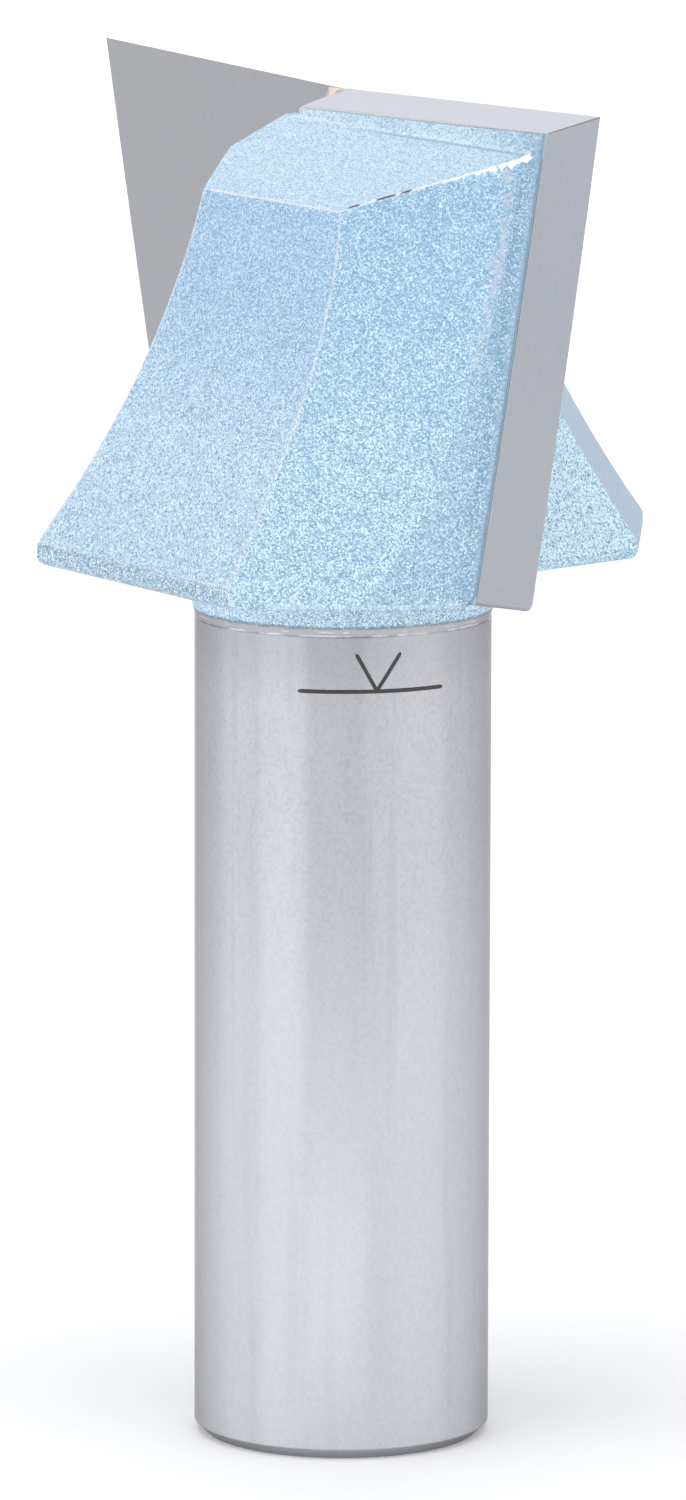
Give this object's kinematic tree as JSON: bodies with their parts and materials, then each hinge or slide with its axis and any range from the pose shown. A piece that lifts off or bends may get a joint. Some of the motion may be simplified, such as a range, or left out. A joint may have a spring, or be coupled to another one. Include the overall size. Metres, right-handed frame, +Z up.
{
  "type": "bottom cleaning router bit",
  "caption": "Flat bottom cleaning router bit with a round shank, a flared winged head and brazed carbide plates, for surfacing and flattening wood.",
  "frame": {"origin": "centre of the shank's free end face, on the tool axis", "axes": "+Z up the tool axis from the shank to the cutting end; +X along the first carbide plate's end cutting edge, outwards; +Y completes the right-handed frame and is the way that plate's rake face looks"},
  "size_m": [0.038, 0.0272, 0.0586],
  "materials": {
    "body_steel": "head in light blue metal-flake paint, shank left as satin ground steel",
    "carbide": "ground tungsten carbide, satin grey",
    "braze": "solidified brazing filler, dull copper colour"
  },
  "bodies": {
    "root": {"steel_body": "body_steel", "carbide_plate_1": "carbide", "carbide_plate_2": "carbide", "braze_joint_1": "braze", "braze_joint_2": "braze"}
  },
  "joints": []
}
